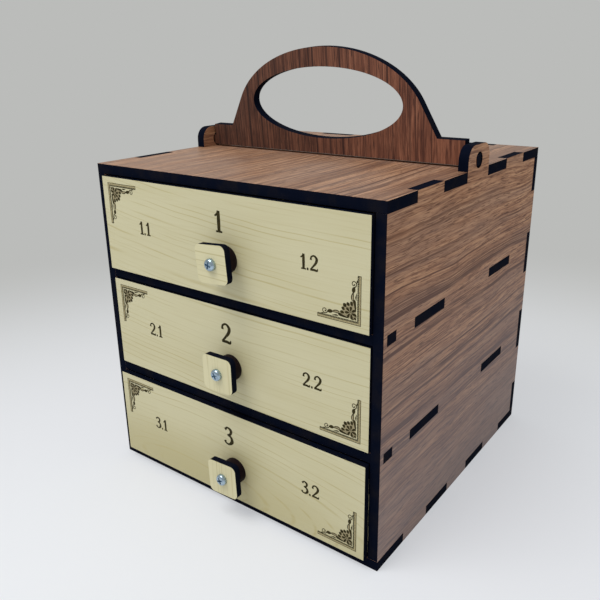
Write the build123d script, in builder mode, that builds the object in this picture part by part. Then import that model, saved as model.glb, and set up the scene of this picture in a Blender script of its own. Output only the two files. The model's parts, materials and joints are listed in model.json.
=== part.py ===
from build123d import *
import os
from math import acos, atan2, cos, degrees, hypot, radians, sin, sqrt

# A table-top box of laser-cut boards: three drawers in a finger-jointed cabinet, with a folding handle.
# Origin at the middle of the underside, front towards -Y, up +Z.

# Cabinet
body_width = 203.0
body_depth = 203.0
body_height = 203.0
board = 6.0
finger_count = 7
bay_count = 3

# Shelf tabs that pass through the side and back panels
shelf_tab = 35.0
shelf_tab_shares = (0.25, 0.75)
nose_tab = 9.0
nose_setback = 3.4

# Ears on the side panels, and the round holes that the handle turns in
ear_height = 13.6
ear_corner = 8.0
ear_hole = 9.0
pivot_rise = 4.8

# Carry handle: one board, leaning a little to the front as it stands
handle_lean = 5.0
handle_end_gap = 1.4
handle_shoulder = 10.7
shoulder_width = 16.8
flank_spread = 6.5
arch_rise = 46.8
arch_centre = 14.4
grip_side_rim = 15.0
grip_top_rim = 11.5
grip_bottom = 6.3
tenon_recess = 0.3
tenon_clearance = 0.05
turning_clearance = 0.3

# Drawers: a finger-jointed tray of thin board behind a plain face
tray_board = 3.0
tray_side_gap = 0.5
tray_slide_gap = 0.2
tray_rear_room = 5.0
tray_headroom = 9.5
tray_finger_count = 9
tray_corner_count = 5
face_board = 4.0
face_side_gap = 0.5
face_bottom_gap = 0.3
face_top_gap = 0.7
divider_setdown = 3.0
divider_tab = 20.0
nut_room = 0.5

# How far each face stands out of the cabinet as it rests
upper_proud = 2.5
middle_proud = 1.0
lower_proud = 3.6

# Knobs: a square plate on a round spacer, held by a pan-head screw and a nut
knob_plate = 21.5
knob_corner = 3.3
knob_thickness = 4.0
spacer_diameter = 15.7
spacer_length = 8.0
screw_diameter = 3.5
screw_hole = 3.7
screw_tail = 1.0
head_diameter = 7.0
head_height = 2.5
head_round = 1.7
recess_length = 4.0
recess_width = 1.0
recess_depth = 1.3
nut_flats = 6.0
nut_height = 2.8
nut_play = 0.05

# Where each knob sits, right of and below the middle of its face, and how far it and its screw are turned
upper_knob_offset = 4.8
upper_knob_drop = 6.6
upper_knob_turn = 4.7
upper_screw_turn = 75.0
middle_knob_offset = 3.0
middle_knob_drop = 6.5
middle_knob_turn = 0.6
middle_screw_turn = 25.0
lower_knob_offset = 4.7
lower_knob_drop = 7.9
lower_knob_turn = 2.5
lower_screw_turn = 20.0

# Sizes that follow from the ones above
inner_width = body_width - 2 * board
inner_depth = body_depth - board
width_pitch = body_width / finger_count
depth_pitch = body_depth / finger_count
height_pitch = body_height / finger_count
front_plane = -body_depth / 2
rear_plane = body_depth / 2
bay_height = (body_height - (bay_count + 1) * board) / bay_count
bay_floors = [board + bay * (bay_height + board) for bay in range(bay_count)]
shelf_floors = [floor - board for floor in bay_floors[1:]]
shelf_tab_places = [front_plane + share * inner_depth for share in shelf_tab_shares]
back_tab_places = [share * body_width - body_width / 2 for share in shelf_tab_shares]
nose_place = front_plane + nose_setback + nose_tab / 2
pivot_height = body_height + pivot_rise


def finger_centres(length, count, first):
    """Middles of every second finger of an edge, measured from the middle of the edge."""
    return [(index + 0.5) * length / count - length / 2 for index in range(first, count, 2)]


def save(piece, name):
    """Label a finished piece and write it to its own file."""
    piece.part.label = name
    export_step(piece.part, f"parts/{name}.step")


os.makedirs("parts", exist_ok=True)

# Top and bottom panels: their end fingers hold the corners of the cabinet
for name, level in (("bottom_panel", 0), ("top_panel", body_height - board)):
    with BuildPart() as flat_panel:
        with BuildSketch(Plane.XY.offset(level)):
            Rectangle(body_width, body_depth)
            for edge in (-body_width / 2, body_width / 2):
                with Locations(*[(edge, y) for y in finger_centres(body_depth, finger_count, 1)]):
                    Rectangle(2 * board, depth_pitch, mode=Mode.SUBTRACT)
            with Locations(*[(x, rear_plane) for x in finger_centres(body_width, finger_count, 1)]):
                Rectangle(width_pitch, 2 * board, mode=Mode.SUBTRACT)
        extrude(amount=board)
    save(flat_panel, name)

# Side panels: the middle finger of the top edge rises as the ear that carries the handle
for name, outer in (("left_side_panel", -body_width / 2), ("right_side_panel", body_width / 2 - board)):
    with BuildPart() as side_panel:
        with BuildSketch(Plane.YZ.offset(outer)) as side_outline:
            with Locations((0, body_height / 2)):
                Rectangle(body_depth, body_height)
            with Locations((0, body_height)):
                Rectangle(depth_pitch, ear_height, align=(Align.CENTER, Align.MIN))
            fillet(side_outline.vertices().group_by(Axis.Y)[-1], ear_corner)
            for edge in (0, body_height):
                with Locations(*[(y, edge) for y in finger_centres(body_depth, finger_count, 0)]):
                    Rectangle(depth_pitch, 2 * board, mode=Mode.SUBTRACT)
            heights = [body_height / 2 + z for z in finger_centres(body_height, finger_count, 0)]
            with Locations(*[(rear_plane, z) for z in heights]):
                Rectangle(2 * board, height_pitch, mode=Mode.SUBTRACT)
            for floor in shelf_floors:
                with Locations(*[(y, floor + board / 2) for y in shelf_tab_places]):
                    Rectangle(shelf_tab, board, mode=Mode.SUBTRACT)
                with Locations((nose_place, floor + board / 2)):
                    Rectangle(nose_tab, board, mode=Mode.SUBTRACT)
            with Locations((0, pivot_height)):
                Circle(ear_hole / 2, mode=Mode.SUBTRACT)
        extrude(amount=board)
    save(side_panel, name)

# Back panel, slotted for the tabs of the shelves
with BuildPart() as back_panel:
    with BuildSketch(Plane.XZ.offset(-rear_plane)):
        with Locations((0, body_height / 2)):
            Rectangle(body_width, body_height)
        for edge in (0, body_height):
            with Locations(*[(x, edge) for x in finger_centres(body_width, finger_count, 0)]):
                Rectangle(width_pitch, 2 * board, mode=Mode.SUBTRACT)
        for edge in (-body_width / 2, body_width / 2):
            heights = [body_height / 2 + z for z in finger_centres(body_height, finger_count, 1)]
            with Locations(*[(edge, z) for z in heights]):
                Rectangle(2 * board, height_pitch, mode=Mode.SUBTRACT)
        for floor in shelf_floors:
            with Locations(*[(x, floor + board / 2) for x in back_tab_places]):
                Rectangle(shelf_tab, board, mode=Mode.SUBTRACT)
    extrude(amount=board)
save(back_panel, "back_panel")

# Two shelves part the cabinet into equal bays
for name, floor in zip(("lower_shelf", "upper_shelf"), shelf_floors):
    with BuildPart() as shelf:
        with BuildSketch(Plane.XY.offset(floor)):
            with Locations((0, front_plane)):
                Rectangle(inner_width, inner_depth, align=(Align.CENTER, Align.MIN))
            with Locations(*[(0, y) for y in shelf_tab_places]):
                Rectangle(body_width, shelf_tab)
            with Locations((0, nose_place)):
                Rectangle(body_width, nose_tab)
            with Locations(*[(x, 0) for x in back_tab_places]):
                Rectangle(shelf_tab, body_depth)
        extrude(amount=board)
    save(shelf, name)

# Carry handle: straight flanks run up from its shoulders and meet the arch without a kink
handle_half = inner_width / 2 - handle_end_gap
handle_foot = handle_half - shoulder_width
arch_half_width = handle_foot - flank_spread
grip_half_width = arch_half_width - grip_side_rim
grip_half_height = (arch_centre + arch_rise - grip_top_rim - grip_bottom) / 2
grip_centre = grip_bottom + grip_half_height
handle_drop = sqrt((pivot_rise - turning_clearance) ** 2 - (board / 2) ** 2)
tenon_height = sqrt((ear_hole - 2 * tenon_clearance) ** 2 - board ** 2)
tenon_span = body_width - 2 * tenon_recess
foot_share = handle_foot / arch_half_width
shoulder_share = (handle_shoulder - arch_centre) / arch_rise
flank_angle = degrees(acos(1 / hypot(foot_share, shoulder_share)) + atan2(shoulder_share, foot_share))
handle_facing = (0, -cos(radians(handle_lean)), -sin(radians(handle_lean)))
handle_plane = Plane(origin=(0, 0, pivot_height), x_dir=(1, 0, 0), z_dir=handle_facing)

with BuildPart() as carry_handle:
    with BuildSketch(handle_plane):
        with BuildLine():
            arch = EllipticalCenterArc(
                (0, arch_centre),
                arch_half_width,
                arch_rise,
                start_angle=flank_angle,
                arc_size=180 - 2 * flank_angle,
            )
            Polyline(
                arch @ 1,
                (-handle_foot, handle_shoulder),
                (-handle_half, handle_shoulder),
                (-handle_half, -handle_drop),
                (handle_half, -handle_drop),
                (handle_half, handle_shoulder),
                (handle_foot, handle_shoulder),
                arch @ 0,
            )
        make_face()
        Rectangle(tenon_span, tenon_height)
        with Locations((0, grip_centre)):
            Ellipse(grip_half_width, grip_half_height, mode=Mode.SUBTRACT)
    extrude(amount=board / 2, both=True)
save(carry_handle, "carry_handle")

# Drawers
tray_width = inner_width - 2 * tray_side_gap
tray_depth = inner_depth - face_board - tray_rear_room
tray_inner_depth = tray_depth - 2 * tray_board
tray_height = bay_height - tray_slide_gap - tray_headroom
divider_height = tray_height - tray_board - divider_setdown
face_width = inner_width - 2 * face_side_gap
face_height = bay_height - face_bottom_gap - face_top_gap
face_middle = face_bottom_gap + face_height / 2
divider_middle = tray_board + divider_height / 2
nearest_knob = min(upper_knob_offset, middle_knob_offset, lower_knob_offset)
divider_place = nearest_knob - nut_flats / sqrt(3) - nut_room - tray_board / 2
screw_length = knob_thickness + spacer_length + face_board + tray_board + nut_height + screw_tail

drawers = (
    ("lower", lower_proud, lower_knob_offset, lower_knob_drop, lower_knob_turn, lower_screw_turn),
    ("middle", middle_proud, middle_knob_offset, middle_knob_drop, middle_knob_turn, middle_screw_turn),
    ("upper", upper_proud, upper_knob_offset, upper_knob_drop, upper_knob_turn, upper_screw_turn),
)

for bay_floor, (drawer, proud, knob_offset, knob_drop, knob_turn, screw_turn) in zip(bay_floors, drawers):
    face_front = front_plane - proud
    tray_front = face_front + face_board
    tray_rear = tray_front + tray_depth
    tray_middle = (tray_front + tray_rear) / 2
    tray_floor = bay_floor + tray_slide_gap
    tray_top = tray_floor + tray_height
    corner_heights = (tray_floor + tray_top) / 2
    knob_place = (knob_offset, bay_floor + face_middle - knob_drop)
    spacer_front = face_front - spacer_length
    plate_front = spacer_front - knob_thickness

    # Face
    with BuildPart() as face:
        with BuildSketch(Plane.XZ.offset(-tray_front)):
            with Locations((0, bay_floor + face_bottom_gap)):
                Rectangle(face_width, face_height, align=(Align.CENTER, Align.MIN))
            with Locations(knob_place):
                Circle(screw_hole / 2, mode=Mode.SUBTRACT)
        extrude(amount=face_board)
    save(face, f"{drawer}_drawer_face")

    # Tray floor
    with BuildPart() as floor:
        with BuildSketch(Plane.XY.offset(tray_floor)):
            with Locations((0, tray_middle)):
                Rectangle(tray_width, tray_depth)
            side_fingers = [tray_middle + y for y in finger_centres(tray_depth, tray_finger_count, 1)]
            for edge in (-tray_width / 2, tray_width / 2):
                with Locations(*[(edge, y) for y in side_fingers]):
                    Rectangle(2 * tray_board, tray_depth / tray_finger_count, mode=Mode.SUBTRACT)
            for edge in (tray_front, tray_rear):
                with Locations(*[(x, edge) for x in finger_centres(tray_width, tray_finger_count, 1)]):
                    Rectangle(tray_width / tray_finger_count, 2 * tray_board, mode=Mode.SUBTRACT)
        extrude(amount=tray_board)
    save(floor, f"{drawer}_drawer_floor")

    # Tray sides
    for side, outer in (("left", -tray_width / 2), ("right", tray_width / 2 - tray_board)):
        with BuildPart() as tray_side:
            with BuildSketch(Plane.YZ.offset(outer)):
                with Locations((tray_middle, tray_floor)):
                    Rectangle(tray_depth, tray_height, align=(Align.CENTER, Align.MIN))
                floor_fingers = [tray_middle + y for y in finger_centres(tray_depth, tray_finger_count, 0)]
                with Locations(*[(y, tray_floor) for y in floor_fingers]):
                    Rectangle(tray_depth / tray_finger_count, 2 * tray_board, mode=Mode.SUBTRACT)
                end_fingers = [corner_heights + z for z in finger_centres(tray_height, tray_corner_count, 0)]
                for edge in (tray_front, tray_rear):
                    with Locations(*[(edge, z) for z in end_fingers]):
                        Rectangle(2 * tray_board, tray_height / tray_corner_count, mode=Mode.SUBTRACT)
            extrude(amount=tray_board)
        save(tray_side, f"{drawer}_drawer_{side}_side")

    # Tray front and back, slotted for the tabs of the divider
    for end, inner in (("front", tray_front + tray_board), ("back", tray_rear)):
        with BuildPart() as tray_end:
            with BuildSketch(Plane.XZ.offset(-inner)):
                with Locations((0, tray_floor)):
                    Rectangle(tray_width, tray_height, align=(Align.CENTER, Align.MIN))
                with Locations(*[(x, tray_floor) for x in finger_centres(tray_width, tray_finger_count, 0)]):
                    Rectangle(tray_width / tray_finger_count, 2 * tray_board, mode=Mode.SUBTRACT)
                side_fingers = [corner_heights + z for z in finger_centres(tray_height, tray_corner_count, 1)]
                for edge in (-tray_width / 2, tray_width / 2):
                    with Locations(*[(edge, z) for z in side_fingers]):
                        Rectangle(2 * tray_board, tray_height / tray_corner_count, mode=Mode.SUBTRACT)
                with Locations((divider_place, tray_floor + divider_middle)):
                    Rectangle(tray_board, divider_tab, mode=Mode.SUBTRACT)
                if end == "front":
                    with Locations(knob_place):
                        Circle(screw_hole / 2, mode=Mode.SUBTRACT)
            extrude(amount=tray_board)
        save(tray_end, f"{drawer}_drawer_{end}")

    # Divider between the two compartments, set aside just far enough to clear the nearest knob's nut
    with BuildPart() as divider:
        with BuildSketch(Plane.YZ.offset(divider_place - tray_board / 2)):
            with Locations((tray_middle, tray_floor + tray_board)):
                Rectangle(tray_inner_depth, divider_height, align=(Align.CENTER, Align.MIN))
            with Locations((tray_middle, tray_floor + divider_middle)):
                Rectangle(tray_depth, divider_tab)
        extrude(amount=tray_board)
    save(divider, f"{drawer}_drawer_divider")

    # Knob spacer
    with BuildPart() as spacer:
        with BuildSketch(Plane.XZ.offset(-face_front)):
            with Locations(knob_place):
                Circle(spacer_diameter / 2)
                Circle(screw_hole / 2, mode=Mode.SUBTRACT)
        extrude(amount=spacer_length)
    save(spacer, f"{drawer}_knob_spacer")

    # Knob plate
    with BuildPart() as plate:
        with BuildSketch(Plane.XZ.offset(-spacer_front)):
            with Locations(knob_place):
                RectangleRounded(knob_plate, knob_plate, knob_corner, rotation=knob_turn)
                Circle(screw_hole / 2, mode=Mode.SUBTRACT)
        extrude(amount=knob_thickness)
    save(plate, f"{drawer}_knob_plate")

    # Pan-head screw with a cross recess
    with BuildPart() as screw:
        with BuildSketch(Plane.XZ.offset(-plate_front)):
            with Locations(knob_place):
                Circle(head_diameter / 2)
        extrude(amount=head_height)
        fillet(screw.edges().group_by(Axis.Y)[0], head_round)
        with BuildSketch(Plane.XZ.offset(head_height - plate_front)):
            with Locations(knob_place):
                Rectangle(recess_length, recess_width, rotation=screw_turn)
                Rectangle(recess_width, recess_length, rotation=screw_turn)
        extrude(amount=-recess_depth, mode=Mode.SUBTRACT)
        with BuildSketch(Plane.XZ.offset(-plate_front)):
            with Locations(knob_place):
                Circle(screw_diameter / 2)
        extrude(amount=-screw_length)
    save(screw, f"{drawer}_knob_screw")

    # Nut on the inside of the tray front
    with BuildPart() as nut:
        with BuildSketch(Plane.XZ.offset(-(tray_front + tray_board))):
            with Locations(knob_place):
                RegularPolygon(nut_flats / 2, side_count=6, major_radius=False)
                Circle(screw_diameter / 2 + nut_play, mode=Mode.SUBTRACT)
        extrude(amount=-nut_height)
    save(nut, f"{drawer}_knob_nut")
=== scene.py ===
"""Looks of a table-top medicine box: board finishes, burnt ornaments, knobs and a plain studio stage.

Laid out as an add-on and run as a script. Every length is in metres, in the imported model's own frame:
origin at the middle of the underside, front towards -Y, up +Z.
"""

import json
from math import cos, pi, radians, sin
from typing import NamedTuple

import bmesh
import bpy
from bpy.props import FloatProperty, FloatVectorProperty, PointerProperty
from mathutils import Matrix, Vector


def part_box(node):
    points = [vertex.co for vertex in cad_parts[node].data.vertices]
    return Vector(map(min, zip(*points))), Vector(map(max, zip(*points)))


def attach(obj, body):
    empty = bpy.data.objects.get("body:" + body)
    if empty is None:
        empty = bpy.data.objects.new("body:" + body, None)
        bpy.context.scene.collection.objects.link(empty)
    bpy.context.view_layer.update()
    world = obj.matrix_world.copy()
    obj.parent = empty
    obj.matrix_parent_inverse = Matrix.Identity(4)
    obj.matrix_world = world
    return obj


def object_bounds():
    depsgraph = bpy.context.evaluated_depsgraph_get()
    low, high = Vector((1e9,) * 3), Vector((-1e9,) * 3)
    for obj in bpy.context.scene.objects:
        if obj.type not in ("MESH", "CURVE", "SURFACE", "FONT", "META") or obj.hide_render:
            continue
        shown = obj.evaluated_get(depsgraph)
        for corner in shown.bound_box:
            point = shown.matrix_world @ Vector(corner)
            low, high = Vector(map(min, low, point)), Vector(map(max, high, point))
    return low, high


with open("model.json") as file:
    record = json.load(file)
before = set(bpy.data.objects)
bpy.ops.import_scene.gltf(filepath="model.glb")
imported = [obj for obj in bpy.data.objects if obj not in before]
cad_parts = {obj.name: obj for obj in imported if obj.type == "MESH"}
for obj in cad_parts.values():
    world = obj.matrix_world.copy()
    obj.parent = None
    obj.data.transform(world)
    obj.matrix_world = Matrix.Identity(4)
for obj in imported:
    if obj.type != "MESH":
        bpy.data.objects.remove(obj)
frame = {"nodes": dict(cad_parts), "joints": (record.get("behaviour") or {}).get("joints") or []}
cad_low, cad_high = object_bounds()

bl_info = {
    "name": "Medicine Box Looks",
    "version": (1, 0, 0),
    "blender": (4, 5, 0),
    "location": "View3D > Sidebar > Medicine Box",
    "description": "Finishes, burnt ornaments and stage of a three-drawer medicine box",
    "category": "Object",
}

MM = 0.001
IMAGE_SIDE = 600
SENSOR_WIDTH = 36.0
X_AXIS, Y_AXIS, Z_AXIS = 0, 1, 2
# Axes of a board: along its grain, across the grain, and through the board
LEVEL_FRONT = (X_AXIS, Z_AXIS, Y_AXIS)
UPRIGHT_FRONT = (Z_AXIS, X_AXIS, Y_AXIS)
LEVEL_SIDE = (Y_AXIS, Z_AXIS, X_AXIS)
FLAT_SIDEWAYS = (X_AXIS, Y_AXIS, Z_AXIS)
FLAT_BACKWARDS = (Y_AXIS, X_AXIS, Z_AXIS)

DRAWERS = ("upper", "middle", "lower")


# Settings


def colour(label, note, default):
    """A colour that a user may change."""
    return FloatVectorProperty(
        name=label, description=note, subtype="COLOR", size=3, min=0.0, max=1.0, default=default
    )


def length(label, note, default):
    """A length that a user may change, in metres."""
    return FloatProperty(name=label, description=note, default=default, unit="LENGTH", precision=5)


def share(label, note, default):
    """A share from 0 to 1 that a user may change."""
    return FloatProperty(name=label, description=note, default=default, subtype="FACTOR", min=0.0, max=1.0)


def number(label, note, default):
    """A plain number that a user may change."""
    return FloatProperty(name=label, description=note, default=default)


def degrees(label, note, default):
    """An angle that a user may change, given in degrees."""
    return FloatProperty(name=label, description=note, default=radians(default), unit="ROTATION")


def position(label, note, default):
    """A place that a user may change, in metres."""
    return FloatVectorProperty(name=label, description=note, default=default, subtype="TRANSLATION")


class CabinetWalnut(bpy.types.PropertyGroup):
    """Walnut-grain laminate of the cabinet boards"""

    light: colour("Light wood", "Palest tone of the fibres", (0.670, 0.370, 0.205))
    middle: colour("Middle wood", "Tone of most of the board", (0.462, 0.229, 0.122))
    dark: colour("Dark wood", "Tone of the darkest fibres and of the bands", (0.205, 0.090, 0.050))
    rose: colour("Rosy wood", "Cooler tone in long patches", (0.355, 0.226, 0.164))
    vein: colour("Veins", "Tone of the thin veins and pores", (0.105, 0.038, 0.020))
    # Painted reflection: the greyer tone at the foot of upright boards stands for the pale floor reflected
    # there.
    painted_floor_reflection: colour("Cool wood", "Greyer tone towards the foot of upright boards", (0.238, 0.234, 0.258))
    painted_reflection_share: share("Cool share", "How far the foot of upright boards turns cool", 0.56)
    deep: colour("Deep wood", "Darker tone of the flat boards", (0.050, 0.040, 0.030))
    deep_left: share("Deep left", "How far the left of flat boards turns deep", 0.28)
    deep_right: share("Deep right", "How far the right of flat boards turns deep", 0.20)
    # Painted shade: a darker strip without sheen on the top under the handle, where shade falls in the fold
    # gap.
    painted_shade_tone: colour("Rubbed wood", "Tone of the dull strip under the handle", (0.240, 0.116, 0.072))
    painted_shade_width: length("Rubbed width", "Width of the dull strip under the handle", 7.2 * MM)
    lively_reach: length("Lively reach", "How far from the heart line the figure stays lively", 68 * MM)
    band_width: length("Band width", "Space between the broad dark bands", 22 * MM)
    vein_space: length("Vein space", "Space between the thin veins", 10 * MM)
    fibre_width: length("Fibre width", "Width of the fibres", 1.15 * MM)
    fibre_length: length("Fibre length", "Length of the fibres of upright boards", 32 * MM)
    flat_fibre_length: length("Flat fibre length", "Length of the fibres of flat boards", 77 * MM)
    flat_bands: number("Flat bands", "Strength of the bands of flat boards, 1 on others", 1.5)
    flat_contrast: number("Flat contrast", "Contrast of the fibres of flat boards, 1 on others", 1.8)
    wave: length("Wave", "How far the grain wanders to either side", 6.0 * MM)
    sheet_shift: number("Sheet shift", "How far the figure moves across from one sheet to the next", 5.1)
    roughness: share("Roughness", "Roughness of the satin laminate", 0.45)
    shine: share("Shine", "Specular level of the upright boards", 0.05)
    flat_shine: share("Flat shine", "Specular level of the flat boards", 0.5)


class HandleWalnut(bpy.types.PropertyGroup):
    """Redder walnut-grain laminate of the carry handle"""

    light: colour("Light wood", "Palest tone of the fibres", (0.389, 0.166, 0.097))
    middle: colour("Middle wood", "Tone of most of the handle", (0.210, 0.079, 0.047))
    dark: colour("Dark wood", "Tone of the darkest fibres and of the bands", (0.080, 0.029, 0.021))
    rose: colour("Rosy wood", "Lighter tone in long patches", (0.317, 0.124, 0.069))
    vein: colour("Veins", "Tone of the thin veins and pores", (0.050, 0.021, 0.017))
    shade: colour("Shaded wood", "Darker tone towards the left end", (0.012, 0.011, 0.010))
    shade_share: share("Shaded share", "How far the left end turns to the shaded tone", 0.60)
    lively_reach: length("Lively reach", "How far from the heart line the figure stays lively", 120 * MM)
    band_width: length("Band width", "Space between the broad dark bands", 9 * MM)
    vein_space: length("Vein space", "Space between the thin veins", 5 * MM)
    fibre_width: length("Fibre width", "Width of the fibres", 1.5 * MM)
    fibre_length: length("Fibre length", "Length of the fibres", 32 * MM)
    wave: length("Wave", "How far the grain wanders to either side", 1.0 * MM)
    sheet_shift: number("Sheet shift", "How far the figure moves across from one sheet to the next", 0.0)
    roughness: share("Roughness", "Roughness of the satin laminate", 0.55)
    shine: share("Shine", "Specular level of the satin laminate", 0.16)


class DrawerMaple(bpy.types.PropertyGroup):
    """Pale maple-grain laminate of the drawers and knob plates"""

    pale: colour("Pale wood", "Tone between the growth lines", (0.645, 0.592, 0.374))
    line: colour("Growth lines", "Tone of the thin growth lines", (0.500, 0.425, 0.200))
    # Painted shade: the darker tone close to the heart darkens the lower face at its lower left.
    core: colour("Heartwood", "Tone close to the heart of the log", (0.500, 0.440, 0.228))
    plate: colour("Knob plate", "Lighter tone of the knob plates", (0.715, 0.655, 0.410))
    ring_width: length("Ring width", "Space between growth lines", 3.4 * MM)
    painted_heart_shade_reach: length("Heartwood width", "How far the heartwood reaches from the heart", 42 * MM)
    roughness: share("Roughness", "Roughness of the satin laminate", 0.45)
    shine: share("Shine", "Specular level of the satin laminate", 0.4)


class BurntEdge(bpy.types.PropertyGroup):
    """Laser-burnt board edges and marks"""

    char: colour("Char", "Tone of the cut edges", (0.0034, 0.0052, 0.0130))
    soot: colour("Soot", "Browner tone in patches of the cut edges", (0.0095, 0.0090, 0.0130))
    spacer: colour("Spacer", "Tone of the burnt knob spacers", (0.0130, 0.0058, 0.0085))
    mark: colour("Burnt mark", "Tone of the burnt ornaments and numbers", (0.046, 0.036, 0.011))
    scorch: colour("Scorch", "Tone of the shallow burnt leaves", (0.430, 0.360, 0.205))
    faint: colour("Faint scorch", "Light tone of the band between two burnt lines", (0.480, 0.405, 0.220))
    edge_ease: length("Edge ease", "Width of the small round on every cut edge", 0.2 * MM)
    roughness: share("Roughness", "Roughness of the burnt edges", 0.6)
    shine: share("Shine", "Specular level of the burnt edges", 0.004)


class ZincScrew(bpy.types.PropertyGroup):
    """Zinc plating of the screws and nuts"""

    plating: colour("Plating", "Tone of the bright zinc", (0.43, 0.55, 0.65))
    roughness: share("Roughness", "Roughness of the plating", 0.22)


class CornerOrnament(bpy.types.PropertyGroup):
    """Burnt scrollwork in two corners of each drawer face"""

    side_margin: length("Side margin", "From the side of the face to the outer line", 4.9 * MM)
    end_margin: length("End margin", "From the top or bottom of the face to the outer line", 3.7 * MM)
    leg: length("Leg", "Length of the two legs of the outer line", 25.0 * MM)
    band: length("Band", "Space between the outer and the middle line", 1.3 * MM)
    relief: length("Relief", "How far the burnt marks stand out of the face", 0.04 * MM)


class DrawerNumbers(bpy.types.PropertyGroup):
    """Plain burnt numbers on the drawer faces"""

    title_height: length("Drawer number height", "Height of the number above the knob", 12.0 * MM)
    label_height: length("Label height", "Height of the compartment numbers", 8.0 * MM)
    title_rise: length("Drawer number rise", "From the middle of the face to the drawer number", 13.7 * MM)
    label_rise: length("Label rise", "From the middle of the face to the compartment numbers", 1.2 * MM)
    label_reach: length("Label reach", "From the middle of the face to a compartment number", 60.0 * MM)


class StudioStage(bpy.types.PropertyGroup):
    """Floor, light and camera"""

    floor: colour("Floor", "Tone of the pale floor near the box", (0.820, 0.830, 0.850))
    backdrop: colour("Backdrop", "Tone that the floor fades to", (0.497, 0.503, 0.491))
    sky: colour("Sky", "Tone of the soft light from all round", (0.93, 0.97, 1.0))
    sky_strength: number("Sky strength", "Level of the light all round", 0.56)
    glow: colour("Floor glow", "Tone of the floor as it is seen, without shadow", (0.870, 0.885, 0.920))
    floor_glow: share("Floor glow share", "How much of that tone is mixed in", 0.5)
    key_power: FloatProperty(
        name="Key power", description="Power of the soft box", default=8.2, unit="POWER"
    )
    key_size: length("Key size", "Side of the soft box", 0.6)
    key_place: position("Key place", "Place of the soft box", (-0.22, -0.55, 1.15))
    eye: position("Eye", "Place of the camera", (0.2440, -0.3567, 0.2657))
    azimuth: degrees("Azimuth", "Turn of the view about the box", 37.01)
    elevation: degrees("Elevation", "How far the view looks down", 19.12)
    roll: degrees("Roll", "Tilt of the picture", -0.9)
    focal_pixels: number("Focal length", "In pixels of the picture", 668.2)
    axis_pixel: FloatVectorProperty(
        name="Axis pixel",
        description="Where the optical axis meets the picture",
        size=2,
        default=(298.64, 283.37),
    )


class MedicineBoxSettings(bpy.types.PropertyGroup):
    """All settings of the box's looks"""

    cabinet: PointerProperty(type=CabinetWalnut, name="Cabinet", description="Cabinet boards")
    handle: PointerProperty(type=HandleWalnut, name="Handle", description="Carry handle")
    maple: PointerProperty(type=DrawerMaple, name="Maple", description="Drawers and knob plates")
    burnt: PointerProperty(type=BurntEdge, name="Burnt edges", description="Cut edges and marks")
    zinc: PointerProperty(type=ZincScrew, name="Zinc", description="Screws and nuts")
    ornament: PointerProperty(type=CornerOrnament, name="Ornament", description="Corner scrollwork")
    numbers: PointerProperty(type=DrawerNumbers, name="Numbers", description="Numbers on the faces")
    stage: PointerProperty(type=StudioStage, name="Stage", description="Floor, light and camera")


# Shader building


class Shader:
    """A node tree under construction, with short calls for the nodes that the finishes share."""

    def __init__(self, tree):
        self.tree = tree

    def node(self, kind, sockets, output=0, **settings):
        """Add a node, fill its sockets from values or from other nodes, and give one output."""
        made = self.tree.nodes.new(kind)
        for name, value in settings.items():
            setattr(made, name, value)
        for name, value in sockets.items():
            if isinstance(value, bpy.types.NodeSocket):
                self.tree.links.new(value, made.inputs[name])
            else:
                made.inputs[name].default_value = value
        return made.outputs[output]

    def math(self, operation, *values):
        return self.node("ShaderNodeMath", dict(enumerate(values)), operation=operation)

    def vector(self, operation, *values):
        return self.node("ShaderNodeVectorMath", dict(enumerate(values)), operation=operation)

    def part(self, vector, axis):
        return self.node("ShaderNodeSeparateXYZ", {0: vector}, output=axis)

    def stretched(self, place, axes, sizes):
        """The place divided by a figure's size along the grain, across it and through the board."""
        scale = [1.0, 1.0, 1.0]
        for axis, size in zip(axes, sizes):
            scale[axis] = 1 / size
        return self.vector("MULTIPLY", place, scale)

    def noise(self, place, axes, sizes, detail=2.0, roughness=0.5):
        """Noise drawn out along the axes of a board."""
        sockets = {
            "Vector": self.stretched(place, axes, sizes),
            "Scale": 1.0,
            "Detail": detail,
            "Roughness": roughness,
        }
        return self.node("ShaderNodeTexNoise", sockets)

    def wobble(self, value, size, detail=1.0):
        """Noise along a single value, such as a place across the grain."""
        sockets = {"W": value, "Scale": 1 / size, "Detail": detail}
        return self.node("ShaderNodeTexNoise", sockets, noise_dimensions="1D")

    def wander(self, place, axes, sizes, reach):
        """The place pushed to and fro across the grain, so that straight figures wave."""
        push = [0.0, 0.0, 0.0]
        push[axes[1]] = 2 * reach
        return self.vector("MULTIPLY_ADD", self.noise(place, axes, sizes), push, place)

    def spread(self, value, low, high, start=0.0, end=1.0):
        """A smooth step of a value from start at low to end at high."""
        return self.node(
            "ShaderNodeMapRange",
            {"Value": value, "From Min": low, "From Max": high, "To Min": start, "To Max": end},
            interpolation_type="SMOOTHSTEP",
        )

    def mix(self, factor, first, second):
        """A colour mix."""
        return self.node("ShaderNodeMix", {0: factor, 6: first, 7: second}, output=2, data_type="RGBA")

    def ramp(self, factor, stops):
        """A colour ramp through stops of (place, colour)."""
        made = self.node("ShaderNodeValToRGB", {0: factor}).node
        bands = made.color_ramp.elements
        while len(bands) < len(stops):
            bands.new(0.5)
        for band, (place, tone) in zip(bands, stops):
            band.position = place
            band.color = rgba(tone)
        return made.outputs[0]

    def bump(self, height, distance, strength):
        return self.node("ShaderNodeBump", {"Height": height, "Distance": distance, "Strength": strength})

    def seen(self):
        """1 for what the camera, metal or glass shows, 0 for the light that falls on the object."""
        shown = self.tree.nodes.new("ShaderNodeLightPath").outputs
        mirrored = self.math("MAXIMUM", shown["Is Glossy Ray"], shown["Is Transmission Ray"])
        return self.math("MAXIMUM", shown["Is Camera Ray"], mirrored)


# How squarely a surface faces through the board, where the cut edge ends and where the face begins
FACE_LEVELS = (0.80, 0.95)


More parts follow.
